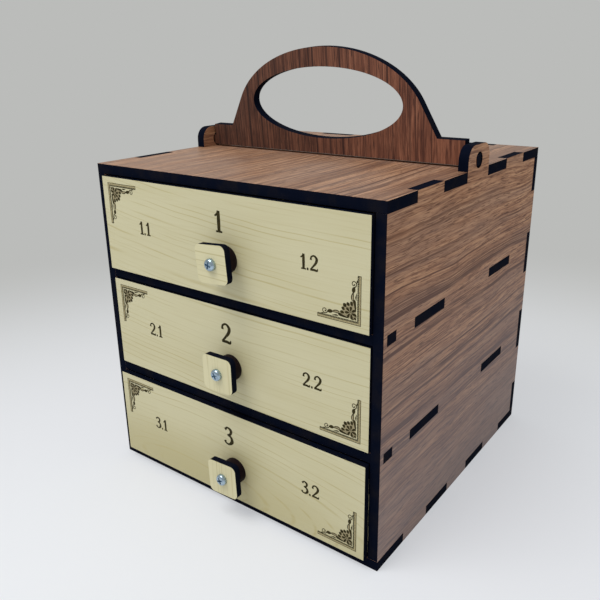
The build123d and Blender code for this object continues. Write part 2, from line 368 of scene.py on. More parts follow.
class Finish(Shader):
    """A material under construction."""

    def __init__(self, name):
        self.material = bpy.data.materials.new(name)
        self.material.use_nodes = True
        super().__init__(self.material.node_tree)
        self.surface = self.tree.nodes["Principled BSDF"]
        texture = self.tree.nodes.new("ShaderNodeTexCoord")
        self.place = texture.outputs["Object"]
        self.facing = texture.outputs["Normal"]

    def face_share(self, axes):
        """1 on the laminated faces of a board, 0 on its cut edges."""
        return self.spread(self.math("ABSOLUTE", self.part(self.facing, axes[2])), *FACE_LEVELS)

    def finish(self, **links):
        """Join sockets and values to the surface, named as the surface names them with underscores."""
        for name, value in links.items():
            socket = self.surface.inputs[name.replace("_", " ")]
            if isinstance(value, bpy.types.NodeSocket):
                self.tree.links.new(value, socket)
            else:
                socket.default_value = value
        return self.material


def rgba(values):
    return (*values, 1.0)


# Finishes


# Here a size is along the grain, across it and through the board. Two levels of noise, from 0 to 1, are
# where a mark begins and where it shows in full, and a share is how strong it is there.
EDGE_PATCH_SIZE = (9 * MM, 9 * MM, 9 * MM)
EDGE_STROKE_SIZE = (0.35 * MM, 0.35 * MM, 20 * MM)
EDGE_STROKE_SHARE = 0.35
SOOT_LEVELS = (0.55, 1.0)


def burnt_tone(build, burnt, axes):
    """Char with browner patches and fine strokes across the thickness of a board."""
    patches = build.noise(build.place, axes, EDGE_PATCH_SIZE, detail=3.0)
    strokes = build.noise(build.place, axes, EDGE_STROKE_SIZE)
    worn = build.spread(build.math("MULTIPLY_ADD", strokes, EDGE_STROKE_SHARE, patches), *SOOT_LEVELS)
    return build.mix(worn, rgba(burnt.char), rgba(burnt.soot))


def laminated(build, burnt, axes, wood, roughness, shine, relief):
    """Join a wood figure on the faces with burnt edges round them."""
    face = build.face_share(axes)
    return build.finish(
        Base_Color=build.mix(face, burnt_tone(build, burnt, axes), wood),
        Roughness=build.spread(face, 0.0, 1.0, burnt.roughness, roughness),
        Specular_IOR_Level=build.spread(face, 0.0, 1.0, burnt.shine, shine),
        Normal=relief,
    )


class WalnutFigure(NamedTuple):
    """How the walnut figure lies on a board, and how strong it is.

    The heart line is at a share of the board's width. The wood turns to a tone, by one share at the low side
    of the board and by another at its high side; on upright boards that tone is painted reflection of the
    floor. Bands and contrast are strengths, 1 on a plain board. Along a painted shade line, at a place in Y,
    the wood is painted darker and without sheen, as painted shade under the handle.
    """

    axes: tuple
    heart_share: float
    fibre_length: float
    shine: float
    turn_tone: tuple
    low_share: float
    high_share: float
    bands: float = 1.0
    contrast: float = 1.0
    rub_line: float | None = None


# Walnut. The figure is strongest within the first lively share of its reach, and past the second one the
# calm share of it is left. A vein runs where noise crosses its middle level, and fibres turn from dark to
# pale round that level. The edges of the painted shade strip under the handle are shares of its width.
MIDDLE_LEVEL = 0.5
WALNUT_DEPTH = 30 * MM
WAVE_SIZE = (120 * MM, 60 * MM, WALNUT_DEPTH)
LIVELY_SHARES = (0.5, 1.5)
CALM_SHARE = 0.15
BAND_LEVELS = (0.54, 0.72)
BAND_SHARE = 0.45
VEIN_HALF_WIDTH = 0.034
VEIN_SHARE = 0.90
VEIN_FADE_SIZE = (90 * MM, 7 * MM, WALNUT_DEPTH)
VEIN_FADE_LEVELS = (0.32, 0.50)
PORE_SIZE = (9 * MM, 0.55 * MM, WALNUT_DEPTH)
PORE_LEVELS = (0.54, 0.70)
PORE_SHARE = 0.70
FIBRE_NOISE_ROUGHNESS = 0.7
FIBRE_REACH = 0.18
ROSE_SIZE = (110 * MM, 11 * MM, WALNUT_DEPTH)
ROSE_LEVELS = (0.40, 0.64)
ROSE_SHARE = 0.35
PAINTED_SHADE_EDGES = (0.42, 0.58)
WALNUT_RELIEF = 0.06 * MM
WALNUT_RELIEF_SHARE = 0.3


def walnut_board(name, tone, burnt, board, figure):
    """Straight-grained walnut laminate: fibres, broad soft bands, thin veins and short dark pores.

    The figure is lively near its heart line and calm far from it.
    """
    build = Finish(name)
    axes = figure.axes
    low, high = (corner[axes[1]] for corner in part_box(board))
    heart = low + figure.heart_share * (high - low)
    wavy = build.wander(build.place, axes, WAVE_SIZE, tone.wave)
    across = build.part(wavy, axes[1])
    ring = build.math("MULTIPLY_ADD", build.part(build.place, axes[2]), tone.sheet_shift, across)
    from_heart = build.math("ABSOLUTE", build.math("SUBTRACT", across, heart))
    near, far = (part * tone.lively_reach for part in LIVELY_SHARES)
    lively = build.spread(from_heart, near, far, 1.0, CALM_SHARE)
    band = build.wobble(ring, tone.band_width, detail=2.0)
    band = build.spread(band, *BAND_LEVELS, 0.0, BAND_SHARE * figure.bands)
    band = build.math("MULTIPLY", band, lively)
    from_vein = build.math("SUBTRACT", build.wobble(ring, tone.vein_space, detail=3.0), MIDDLE_LEVEL)
    vein = build.spread(build.math("ABSOLUTE", from_vein), 0.0, VEIN_HALF_WIDTH, VEIN_SHARE, 0.0)
    fade = build.spread(build.noise(wavy, axes, VEIN_FADE_SIZE), *VEIN_FADE_LEVELS)
    vein = build.math("MULTIPLY", build.math("MULTIPLY", vein, fade), lively)
    pore = build.noise(wavy, axes, PORE_SIZE, detail=1.0)
    pore = build.spread(pore, *PORE_LEVELS, 0.0, PORE_SHARE)
    marks = build.math("MAXIMUM", vein, pore)
    fibre_size = (figure.fibre_length, tone.fibre_width, WALNUT_DEPTH)
    fibres = build.noise(wavy, axes, fibre_size, detail=3.0, roughness=FIBRE_NOISE_ROUGHNESS)
    reach = FIBRE_REACH / figure.contrast
    stops = (
        (MIDDLE_LEVEL - reach, tone.dark),
        (MIDDLE_LEVEL, tone.middle),
        (MIDDLE_LEVEL + reach, tone.light),
    )
    wood = build.ramp(fibres, stops)
    rose = build.spread(build.noise(wavy, axes, ROSE_SIZE), *ROSE_LEVELS, 0.0, ROSE_SHARE)
    wood = build.mix(rose, wood, rgba(tone.rose))
    wood = build.mix(band, wood, rgba(tone.dark))
    wood = build.mix(marks, wood, rgba(tone.vein))
    # On upright boards the tone turned to at the foot is painted reflection of the floor.
    turned = build.spread(across, low, high, figure.low_share, figure.high_share)
    wood = build.mix(turned, wood, rgba(figure.turn_tone))
    shine = figure.shine
    # Painted shade under the handle: the strip is painted darker and loses its sheen.
    if figure.rub_line is not None:
        from_shade_line = build.math("SUBTRACT", build.part(build.place, Y_AXIS), figure.rub_line)
        clear = build.math("DIVIDE", build.math("ABSOLUTE", from_shade_line), tone.painted_shade_width)
        clear = build.spread(clear, *PAINTED_SHADE_EDGES)
        wood = build.mix(clear, rgba(tone.painted_shade_tone), wood)
        shine = build.math("MULTIPLY", clear, shine)
    relief = build.bump(build.math("SUBTRACT", fibres, marks), WALNUT_RELIEF, WALNUT_RELIEF_SHARE)
    return laminated(build, burnt, axes, wood, tone.roughness, shine, relief)


# Maple. A growth line is a share of its ring on either side, and the rings drift to and fro.
MAPLE_DEPTH = 40 * MM
MAPLE_WAVE_SIZE = (60 * MM, 26 * MM, MAPLE_DEPTH)
MAPLE_WAVE = 1.8 * MM
RING_DRIFT_SIZE = 9 * MM
RING_DRIFT = 6 * MM
GROWTH_LINE_SHARE = 0.14
LINE_FADE_SIZE = (70 * MM, 5 * MM, MAPLE_DEPTH)
LINE_FADE_LEVELS = (0.38, 0.68)
LINE_FADE_SHARES = (0.06, 0.75)
MAPLE_FIBRE_SIZE = (30 * MM, 0.6 * MM, MAPLE_DEPTH)
MAPLE_FIBRE_LEVELS = (0.4, 0.8)
MAPLE_FIBRE_SHARE = 0.16
CLOUD_SIZE = (80 * MM, 22 * MM, MAPLE_DEPTH)
CLOUD_LEVELS = (0.35, 0.8)
CLOUD_SHARE = 0.22
# Share of the painted shade tone at the heart
PAINTED_HEART_SHADE_SHARE = 0.9
MAPLE_RELIEF = 0.04 * MM
MAPLE_RELIEF_SHARE = 0.25


def maple_board(name, tone, pale, burnt, axes, heart):
    """Maple-grain laminate: thin growth lines round a far or near heart, with faint fibres, and painted
    shade in a darker tone close to the heart.

    The heart is a place along the grain, a place across it and a squeeze: the smaller it is, the longer the
    rings round the heart.
    """
    build = Finish(name)
    heart_along, heart_across, squeeze = heart
    wavy = build.wander(build.place, axes, MAPLE_WAVE_SIZE, MAPLE_WAVE)
    along = build.math("SUBTRACT", build.part(wavy, axes[0]), heart_along)
    along = build.math("MULTIPLY", along, squeeze)
    across = build.math("SUBTRACT", build.part(wavy, axes[1]), heart_across)
    squares = build.math("MULTIPLY_ADD", along, along, build.math("MULTIPLY", across, across))
    ring = build.math("SQRT", squares)
    uneven = build.math("MULTIPLY_ADD", build.wobble(ring, RING_DRIFT_SIZE), RING_DRIFT, ring)
    phase = build.math("FRACT", build.math("DIVIDE", uneven, tone.ring_width))
    from_line = build.math("ABSOLUTE", build.math("SUBTRACT", phase, MIDDLE_LEVEL))
    line = build.spread(from_line, 0.0, GROWTH_LINE_SHARE, 1.0, 0.0)
    fade = build.noise(build.place, axes, LINE_FADE_SIZE)
    fade = build.spread(fade, *LINE_FADE_LEVELS, *LINE_FADE_SHARES)
    fibres = build.noise(wavy, axes, MAPLE_FIBRE_SIZE)
    cloud = build.noise(build.place, axes, CLOUD_SIZE)
    grain = build.math("MULTIPLY", line, fade)
    grain = build.math("MULTIPLY_ADD", build.spread(fibres, *MAPLE_FIBRE_LEVELS), MAPLE_FIBRE_SHARE, grain)
    grain = build.math("MULTIPLY_ADD", build.spread(cloud, *CLOUD_LEVELS), CLOUD_SHARE, grain)
    # Painted shade: darker close to the heart of the rings.
    core = build.spread(ring, 0.0, tone.painted_heart_shade_reach, PAINTED_HEART_SHADE_SHARE, 0.0)
    wood = build.mix(core, rgba(pale), rgba(tone.core))
    wood = build.mix(grain, wood, rgba(tone.line))
    relief = build.bump(fibres, MAPLE_RELIEF, MAPLE_RELIEF_SHARE)
    return laminated(build, burnt, axes, wood, tone.roughness, tone.shine, relief)


# Burnt all over. The deep share is the depth of the darkest patches, and the two values of roughness go with
# the two levels.
BURNT_PATCH = 3 * MM
SCORCH_PATCH = 0.8 * MM
BURNT_LEVELS = (0.35, 0.7)
BURNT_DEEP_SHARE = 0.6
BURNT_ROUGH_LEVELS = (0.3, 0.8)
BURNT_ROUGHNESS = (0.5, 0.75)
BURNT_SHINE = 0.08
BURNT_RELIEF = 0.05 * MM
BURNT_RELIEF_SHARE = 0.3


def burnt_solid(name, tint, patch):
    """Burnt wood all over, such as a spacer or a burnt mark, with patches of the given size."""
    build = Finish(name)
    patches = build.noise(build.place, LEVEL_FRONT, (patch, patch, patch), detail=4.0)
    deep = [part * BURNT_DEEP_SHARE for part in tint]
    return build.finish(
        Base_Color=build.mix(build.spread(patches, *BURNT_LEVELS), rgba(deep), rgba(tint)),
        Roughness=build.spread(patches, *BURNT_ROUGH_LEVELS, *BURNT_ROUGHNESS),
        Specular_IOR_Level=BURNT_SHINE,
        Normal=build.bump(patches, BURNT_RELIEF, BURNT_RELIEF_SHARE),
    )


# Zinc. A stain keeps a share of the plating's tone, and is rougher.
STAIN_SIZE = (1.2 * MM, 1.2 * MM, 1.2 * MM)
STAIN_LEVELS = (0.35, 0.7)
STAIN_SHARE = 0.72
STAIN_ROUGH_LEVELS = (0.3, 0.75)
STAIN_ROUGHNESS = 0.15


def zinc_plate(name, zinc):
    """Bright zinc with faint duller stains."""
    build = Finish(name)
    stains = build.noise(build.place, LEVEL_FRONT, STAIN_SIZE, detail=4.0)
    dull = [part * STAIN_SHARE for part in zinc.plating]
    dullest = zinc.roughness + STAIN_ROUGHNESS
    return build.finish(
        Base_Color=build.mix(build.spread(stains, *STAIN_LEVELS), rgba(zinc.plating), rgba(dull)),
        Metallic=1.0,
        Roughness=build.spread(stains, *STAIN_ROUGH_LEVELS, zinc.roughness, dullest),
    )


# Mesh building


WELD_REACH = 0.001 * MM
EASE_SEGMENTS = 2
EASE_ANGLE = radians(35)


def dress(node, material, ease):
    """Give a packed board its finish and ease its cut edges."""
    board = frame["nodes"][node]
    board.data.materials.clear()
    board.data.materials.append(material)
    if ease:
        weld = board.modifiers.new("Weld", "WELD")
        weld.merge_threshold = WELD_REACH
        round_over = board.modifiers.new("Eased edges", "BEVEL")
        round_over.width = ease
        round_over.segments = EASE_SEGMENTS
        round_over.limit_method = "ANGLE"
        round_over.angle_limit = EASE_ANGLE
        round_over.use_clamp_overlap = True


def add_piece(name, mesh, materials, place, body):
    """Show a new mesh as a piece that moves with a body."""
    for material in materials:
        mesh.materials.append(material)
    piece = bpy.data.objects.new(name, mesh)
    bpy.context.scene.collection.objects.link(piece)
    piece.matrix_world = place
    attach(piece, body)


PATH_STEPS = 6


def smooth_path(points):
    """A smooth line through a few points, each given with the half width of the stroke there."""
    knots = [Vector(point) for point in points]
    knots = [2 * knots[0] - knots[1], *knots, 2 * knots[-1] - knots[-2]]
    path = []
    for before, start, end, after in zip(knots, knots[1:], knots[2:], knots[3:]):
        for step in range(PATH_STEPS):
            t = step / PATH_STEPS
            bend = (end - before) * t + (2 * before - 5 * start + 4 * end - after) * t * t
            path.append(start + 0.5 * (bend + (3 * start - before - 3 * end + after) * t ** 3))
    path.append(knots[-2])
    return path


# Least half width of a stroke, in millimetres, and the step in height from one stroke to the next, so that
# no two lie in one plane
THINNEST_STROKE = 0.02
LAYER = 0.0015
# Places of the burnt finishes in a piece's list of materials
MARK, SCORCH, FAINT = 0, 1, 2


def add_stroke(solid, path, low, high, finish):
    """Add a flat closed ribbon along a path of (x, y, half width), in millimetres, to a mesh."""
    rows = []
    for index, point in enumerate(path):
        ahead = path[min(index + 1, len(path) - 1)]
        behind = path[max(index - 1, 0)]
        run = Vector((ahead.x - behind.x, ahead.y - behind.y)).normalized()
        side = Vector((-run.y, run.x)) * max(point.z, THINNEST_STROKE)
        corners = [(point.x + side.x, point.y + side.y), (point.x - side.x, point.y - side.y)]
        ring = [(*corners[0], low), (*corners[1], low), (*corners[1], high), (*corners[0], high)]
        rows.append([solid.verts.new(Vector(corner) * MM) for corner in ring])
    sides = []
    for first, second in zip(rows, rows[1:]):
        for a, b in ((0, 1), (1, 2), (2, 3), (3, 0)):
            sides.append((first[a], first[b], second[b], second[a]))
    for corners in (*sides, rows[0][::-1], rows[-1]):
        solid.faces.new(corners).material_index = finish


def to_mesh(name, solid):
    bmesh.ops.recalc_face_normals(solid, faces=solid.faces)
    mesh = bpy.data.meshes.new(name)
    solid.to_mesh(mesh)
    solid.free()
    return mesh


# Strokes of the corner scrollwork, in millimetres from the corner of the middle line: along one leg, along
# the other, half width. The paired ones are drawn twice, mirrored in the diagonal.
DIAGONAL_STROKES = (
    # Small leaf in the corner, and the middle leaf
    ((1.3, 1.3, 0.15), (1.9, 1.9, 0.50), (2.5, 2.5, 0.15)),
    ((7.0, 7.0, 0.35), (7.7, 7.7, 1.00), (8.5, 8.5, 0.45)),
)
PAIRED_STROKES = (
    # Lobes of the side leaf, from the middle leaf to the leg
    ((7.8, 5.3, 0.30), (8.6, 5.8, 0.88), (9.4, 6.4, 0.40)),
    ((8.1, 3.6, 0.30), (9.3, 3.9, 0.82), (10.2, 4.3, 0.40)),
    ((5.4, 1.5, 0.12), (7.2, 1.7, 0.40), (9.2, 2.0, 0.62), (10.7, 2.4, 0.78), (11.3, 3.0, 0.35)),
    # Small leaf between the flower and the leg
    ((2.3, 1.3, 0.10), (3.6, 1.4, 0.36), (4.6, 1.9, 0.12)),
    # Two edges of the stem leaf, and the leaf that lies on the leg
    ((10.8, 3.6, 0.18), (12.1, 4.0, 0.24), (13.6, 3.8, 0.24), (14.9, 3.1, 0.18)),
    ((11.2, 2.6, 0.16), (12.8, 2.8, 0.18), (14.6, 2.8, 0.16)),
    ((11.4, 1.3, 0.08), (12.6, 1.5, 0.36), (13.8, 1.3, 0.24), (15.0, 1.1, 0.06)),
    # Bud
    ((14.7, 3.0, 0.20), (15.7, 2.9, 0.85), (16.9, 2.7, 0.90), (17.9, 2.4, 0.25)),
    # Curl at the end of the leg, and its small leaf
    (
        (17.7, 2.4, 0.22), (18.4, 1.5, 0.22), (19.7, 1.3, 0.20), (20.6, 2.1, 0.18), (20.5, 3.2, 0.17),
        (19.5, 3.7, 0.17), (18.6, 3.2, 0.18), (18.8, 2.4, 0.22), (19.4, 2.4, 0.36),
    ),
    ((19.9, 1.2, 0.10), (20.8, 0.9, 0.26), (21.6, 0.8, 0.08)),
)
# Flower: place on the diagonal, petals, and along each petal its distance from the middle and half width
FLOWER_PLACE = 4.5
FLOWER_PETALS = 7
PETAL = ((0.60, 0.10), (1.60, 0.52), (2.60, 0.64), (3.15, 0.25))
FLOWER_HEART = 0.32
# Shallow scorch inside the leaves
DIAGONAL_SCORCH = ((1.2, 1.2, 0.3), (3.0, 3.0, 1.6), (5.0, 5.0, 3.0), (6.8, 6.8, 2.9), (8.1, 8.1, 0.8))
PAIRED_SCORCH = (
    ((4.0, 2.0, 0.5), (7.0, 2.6, 1.1), (9.2, 3.4, 1.3), (10.4, 3.8, 0.5)),
    ((10.8, 3.1, 0.4), (12.2, 3.4, 0.6), (14.0, 3.2, 0.5), (15.0, 3.0, 0.2)),
)
SCORCH_HEIGHT_SHARE = 0.5
# Half widths of the corner's lines, and the row of beads inside them
OUTER_LINE, MIDDLE_LINE, BEAD_LINE = 0.14, 0.14, 0.10
BEAD_PITCH, BEAD_LENGTH, BEAD_WIDTH = 0.9, 0.5, 0.25
BEAD_SET_IN = 0.45


def mirrored(strokes):
    """Smooth paths of strokes, each followed by its mirror image in the diagonal."""
    paths = []
    for stroke in strokes:
        paths.append(smooth_path(stroke))
        paths.append(smooth_path([(v, u, width) for u, v, width in stroke]))
    return paths


def bead_row(leg):
    """Short strokes in a row along both legs, set in from the middle lines."""
    beads = []
    for count in range(int(leg / BEAD_PITCH)):
        start = BEAD_SET_IN + count * BEAD_PITCH
        end = start + BEAD_LENGTH
        beads.append([Vector((start, BEAD_SET_IN, BEAD_WIDTH)), Vector((end, BEAD_SET_IN, BEAD_WIDTH))])
        beads.append([Vector((BEAD_SET_IN, start, BEAD_WIDTH)), Vector((BEAD_SET_IN, end, BEAD_WIDTH))])
    return beads


def flower():
    """Petals round a small heart on the diagonal."""
    heart = Vector((FLOWER_PLACE, FLOWER_PLACE, 0))
    paths = []
    for count in range(FLOWER_PETALS):
        angle = pi / 4 + 2 * pi * count / FLOWER_PETALS
        ray = Vector((cos(angle), sin(angle), 0))
        paths.append(smooth_path([heart + ray * reach + Vector((0, 0, width)) for reach, width in PETAL]))
    spot = Vector((FLOWER_HEART, 0, 0))
    wide = Vector((0, 0, FLOWER_HEART))
    paths.append(smooth_path([heart - spot, heart + wide, heart + spot]))
    return paths


def ornament_mesh(name, ornament):
    """Scrollwork in a lined corner, flat on its face, with the corner of its middle line at the origin."""
    solid = bmesh.new()
    low, high = -ornament.relief / MM, ornament.relief / MM
    band = ornament.band / MM
    leg = ornament.leg / MM - band
    middle = band / 2
    bands = (
        ((-middle, -band, middle), (-middle, leg, middle)),
        ((0, -middle, middle), (leg, -middle, middle)),
    )
    outer, inner = -band - OUTER_LINE, BEAD_SET_IN + BEAD_LINE
    lines = (
        ((-band, outer, OUTER_LINE), (-band, leg, OUTER_LINE)),
        ((-band, -band, OUTER_LINE), (leg, -band, OUTER_LINE)),
        ((0, -MIDDLE_LINE, MIDDLE_LINE), (0, leg, MIDDLE_LINE)),
        ((0, 0, MIDDLE_LINE), (leg, 0, MIDDLE_LINE)),
        ((BEAD_SET_IN, BEAD_SET_IN, BEAD_LINE), (BEAD_SET_IN, leg, BEAD_LINE)),
        ((BEAD_SET_IN, BEAD_SET_IN, BEAD_LINE), (leg, BEAD_SET_IN, BEAD_LINE)),
        ((outer, leg, OUTER_LINE), (inner, leg, OUTER_LINE)),
        ((leg, outer, OUTER_LINE), (leg, inner, OUTER_LINE)),
    )
    shallow = [(FAINT, [Vector(point) for point in path]) for path in bands]
    shallow += [(SCORCH, path) for path in (smooth_path(DIAGONAL_SCORCH), *mirrored(PAIRED_SCORCH))]
    for count, (finish, path) in enumerate(shallow):
        add_stroke(solid, path, low, high * SCORCH_HEIGHT_SHARE + count * LAYER, finish)
    layers = [[[Vector(point) for point in line]] for line in lines]
    layers += [bead_row(leg), flower()]
    layers += [[smooth_path(stroke)] for stroke in DIAGONAL_STROKES]
    layers += [[path] for path in mirrored(PAIRED_STROKES)]
    for count, paths in enumerate(layers):
        for path in paths:
            add_stroke(solid, path, low, high + count * LAYER, MARK)
    return to_mesh(name, solid)


# Strokes of the numbers, as shares of their height: across, up, half width. The first value is the width
# that the sign takes up.
SIGNS = {
    "1": (0.46, (
        ((-0.18, 0.74, 0.030), (-0.04, 0.83, 0.045), (0.05, 0.98, 0.050)),
        ((0.05, 0.99, 0.070), (0.05, 0.50, 0.080), (0.05, 0.02, 0.070)),
        ((-0.14, 0.03, 0.032), (0.05, 0.04, 0.040), (0.24, 0.03, 0.032)),
    )),
    "2": (0.66, (
        (
            (-0.21, 0.68, 0.065), (-0.18, 0.88, 0.045), (0.03, 0.97, 0.045), (0.22, 0.80, 0.075),
            (0.17, 0.55, 0.070), (-0.05, 0.28, 0.048), (-0.25, 0.05, 0.045),
        ),
        ((-0.27, 0.05, 0.045), (0.03, 0.07, 0.060), (0.25, 0.05, 0.050), (0.29, 0.19, 0.018)),
    )),
    "3": (0.62, (
        (
            (-0.21, 0.81, 0.062), (-0.04, 0.96, 0.042), (0.18, 0.85, 0.072), (0.13, 0.63, 0.055),
            (-0.07, 0.54, 0.028),
        ),
        (
            (-0.07, 0.54, 0.028), (0.17, 0.46, 0.060), (0.23, 0.22, 0.082), (0.03, 0.03, 0.045),
            (-0.17, 0.06, 0.045), (-0.24, 0.19, 0.068),
        ),
    )),
    ".": (0.26, (((-0.07, 0.06, 0.020), (-0.03, 0.06, 0.066), (0.03, 0.06, 0.066), (0.07, 0.06, 0.020)),)),
}
SIGN_WEIGHT = 1.25


def number_mesh(name, text, height, relief):
    """A plain number in swelling strokes, centred on the origin."""
    solid = bmesh.new()
    scale = height / MM
    weight = scale * SIGN_WEIGHT
    across = -sum(SIGNS[sign][0] for sign in text) / 2
    for sign in text:
        width, strokes = SIGNS[sign]
        for count, stroke in enumerate(strokes):
            middle = across + width / 2
            points = [((middle + x) * scale, (y - 0.5) * scale, half * weight) for x, y, half in stroke]
            add_stroke(solid, smooth_path(points), -relief / MM, relief / MM + count * LAYER, MARK)
        across += width
    return to_mesh(name, solid)


# Operators


class BOX_OT_cabinet(bpy.types.Operator):
    """Finish the boards of the cabinet"""

    bl_idname = "medicine_box.cabinet"
    bl_label = "Cabinet boards"

    def execute(self, context):
        box = context.scene.medicine_box
        tone = box.cabinet
        side = WalnutFigure(
            axes=LEVEL_SIDE,
            heart_share=0.58,
            fibre_length=tone.fibre_length,
            shine=tone.shine,
            # The foot turns to the painted reflection of the floor.
            turn_tone=tone.painted_floor_reflection,
            low_share=tone.painted_reflection_share,
            high_share=0.0,
        )
        flat = WalnutFigure(
            axes=FLAT_BACKWARDS,
            heart_share=0.80,
            fibre_length=tone.flat_fibre_length,
            shine=tone.flat_shine,
            turn_tone=tone.deep,
            low_share=tone.deep_left,
            high_share=tone.deep_right,
            bands=tone.flat_bands,
            contrast=tone.flat_contrast,
        )
        fold = next(joint for joint in frame["joints"] if joint["name"] == "handle_fold")
        groups = {
            "side_walnut": (side, ("left_side_panel", "right_side_panel")),
            "back_walnut": (side._replace(axes=LEVEL_FRONT, heart_share=0.50), ("back_panel",)),
            # The top's painted shade strip runs along the handle's fold line.
            "top_walnut": (flat._replace(rub_line=fold["pos_m"][Y_AXIS]), ("top_panel",)),
            "bottom_walnut": (flat, ("bottom_panel",)),
            "shelf_walnut": (flat, ("upper_shelf", "lower_shelf")),
        }
        for name, (figure, boards) in groups.items():
            finish = walnut_board(name, tone, box.burnt, boards[0], figure)
            for board in boards:
                dress(board, finish, box.burnt.edge_ease)
        return {"FINISHED"}


class BOX_OT_handle(bpy.types.Operator):
    """Finish the carry handle"""

    bl_idname = "medicine_box.handle"
    bl_label = "Carry handle"

    def execute(self, context):
        box = context.scene.medicine_box
        tone = box.handle
        figure = WalnutFigure(
            axes=UPRIGHT_FRONT,
            heart_share=0.50,
            fibre_length=tone.fibre_length,
            shine=tone.shine,
            turn_tone=tone.shade,
            low_share=tone.shade_share,
            high_share=0.0,
        )
        finish = walnut_board("handle_walnut", tone, box.burnt, "carry_handle", figure)
        dress("carry_handle", finish, box.burnt.edge_ease)
        return {"FINISHED"}


# Heart of the log that each board is cut from. A face's heart is measured from the middle of the face, and
# the others from the origin.
FACE_HEARTS = {
    "upper": (100 * MM, 300 * MM, 0.5),
    "middle": (60 * MM, 400 * MM, 0.5),
    # The lower face's heart lies near its lower left, where the darker tone round it paints shade.
    "lower": (-40 * MM, -22 * MM, 0.22),
}
TRAY_HEART = (0.0, -400 * MM, 0.3)
PLATE_HEART = (0.0, -300 * MM, 0.3)


class BOX_OT_faces(bpy.types.Operator):
    """Finish the drawer faces, each cut from another part of the board"""

    bl_idname = "medicine_box.faces"
    bl_label = "Drawer faces"

    def execute(self, context):
        box = context.scene.medicine_box
        for drawer, (along, across, squeeze) in FACE_HEARTS.items():
            node = f"{drawer}_drawer_face"
            low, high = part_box(node)
            middle = (low + high) / 2
            heart = (middle.x + along, middle.z + across, squeeze)
            name = f"{drawer}_face_maple"
            finish = maple_board(name, box.maple, box.maple.pale, box.burnt, LEVEL_FRONT, heart)
            dress(node, finish, box.burnt.edge_ease)
        return {"FINISHED"}


class BOX_OT_trays(bpy.types.Operator):
    """Finish the trays behind the drawer faces"""

    bl_idname = "medicine_box.trays"
    bl_label = "Trays"

    def execute(self, context):
        box = context.scene.medicine_box
        groups = {
            "tray_end_maple": (LEVEL_FRONT, ("front", "back")),
            "tray_side_maple": (LEVEL_SIDE, ("left_side", "right_side", "divider")),
            "tray_floor_maple": (FLAT_SIDEWAYS, ("floor",)),
        }
        for name, (axes, boards) in groups.items():
            finish = maple_board(name, box.maple, box.maple.pale, box.burnt, axes, TRAY_HEART)
            for drawer in DRAWERS:
                for board in boards:
                    dress(f"{drawer}_drawer_{board}", finish, box.burnt.edge_ease)
        return {"FINISHED"}


class BOX_OT_knobs(bpy.types.Operator):
    """Finish the knob plates, spacers, screws and nuts"""

    bl_idname = "medicine_box.knobs"
    bl_label = "Knobs"

    def execute(self, context):
        box = context.scene.medicine_box
        zinc = zinc_plate("zinc_plating", box.zinc)
        spacer = burnt_solid("spacer_char", box.burnt.spacer, BURNT_PATCH)
        for drawer, axes in zip(DRAWERS, (LEVEL_FRONT, UPRIGHT_FRONT, UPRIGHT_FRONT)):
            name = f"{drawer}_plate_maple"
            plate = maple_board(name, box.maple, box.maple.plate, box.burnt, axes, PLATE_HEART)
            dress(f"{drawer}_knob_plate", plate, box.burnt.edge_ease)
            dress(f"{drawer}_knob_spacer", spacer, box.burnt.edge_ease)
            dress(f"{drawer}_knob_screw", zinc, ease=0)
            dress(f"{drawer}_knob_nut", zinc, box.burnt.edge_ease)
        return {"FINISHED"}


class BOX_OT_ornaments(bpy.types.Operator):
    """Burn the corner scrollwork into the drawer faces"""

    bl_idname = "medicine_box.ornaments"
    bl_label = "Corner scrollwork"

    def execute(self, context):
        box = context.scene.medicine_box
        ornament = box.ornament
        mark = burnt_solid("burnt_mark", box.burnt.mark, BURNT_PATCH)
        scorch = burnt_solid("leaf_scorch", box.burnt.scorch, SCORCH_PATCH)
        faint = burnt_solid("faint_scorch", box.burnt.faint, SCORCH_PATCH)
        side = ornament.side_margin + ornament.band
        end = ornament.end_margin + ornament.band
        for drawer in DRAWERS:
            low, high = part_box(f"{drawer}_drawer_face")
            corners = {
                "upper_left": (Vector((low.x + side, low.y, high.z - end)), (0, 0, -1), (1, 0, 0)),
                "lower_right": (Vector((high.x - side, low.y, low.z + end)), (0, 0, 1), (-1, 0, 0)),
            }
            for corner, (spot, first_leg, second_leg) in corners.items():
                name = f"{drawer}_{corner}_scrollwork"
                turn = Matrix((first_leg, second_leg, (0, -1, 0))).transposed().to_4x4()
                place = Matrix.Translation(spot) @ turn
                mesh = ornament_mesh(name, ornament)
                add_piece(name, mesh, (mark, scorch, faint), place, f"{drawer}_drawer")
        return {"FINISHED"}


class BOX_OT_numbers(bpy.types.Operator):
    """Burn plain numbers into the drawer faces"""

    bl_idname = "medicine_box.numbers"
    bl_label = "Drawer numbers"

    def execute(self, context):
        box = context.scene.medicine_box
        numbers = box.numbers
        mark = bpy.data.materials["burnt_mark"]
        upright = Matrix.Rotation(pi / 2, 4, "X")
        for count, drawer in enumerate(DRAWERS, start=1):
            low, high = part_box(f"{drawer}_drawer_face")
            middle = (low + high) / 2
            label = (numbers.label_rise, numbers.label_height)
            marks = {
                "drawer_number": (f"{count}", 0.0, numbers.title_rise, numbers.title_height),
                "left_number": (f"{count}.1", -numbers.label_reach, *label),
                "right_number": (f"{count}.2", numbers.label_reach, *label),
            }
            for kind, (text, reach, rise, height) in marks.items():
                name = f"{drawer}_{kind}"
                mesh = number_mesh(name, text, height, box.ornament.relief)
                place = Matrix.Translation((middle.x + reach, low.y, middle.z + rise)) @ upright
                add_piece(name, mesh, (mark,), place, f"{drawer}_drawer")
        return {"FINISHED"}


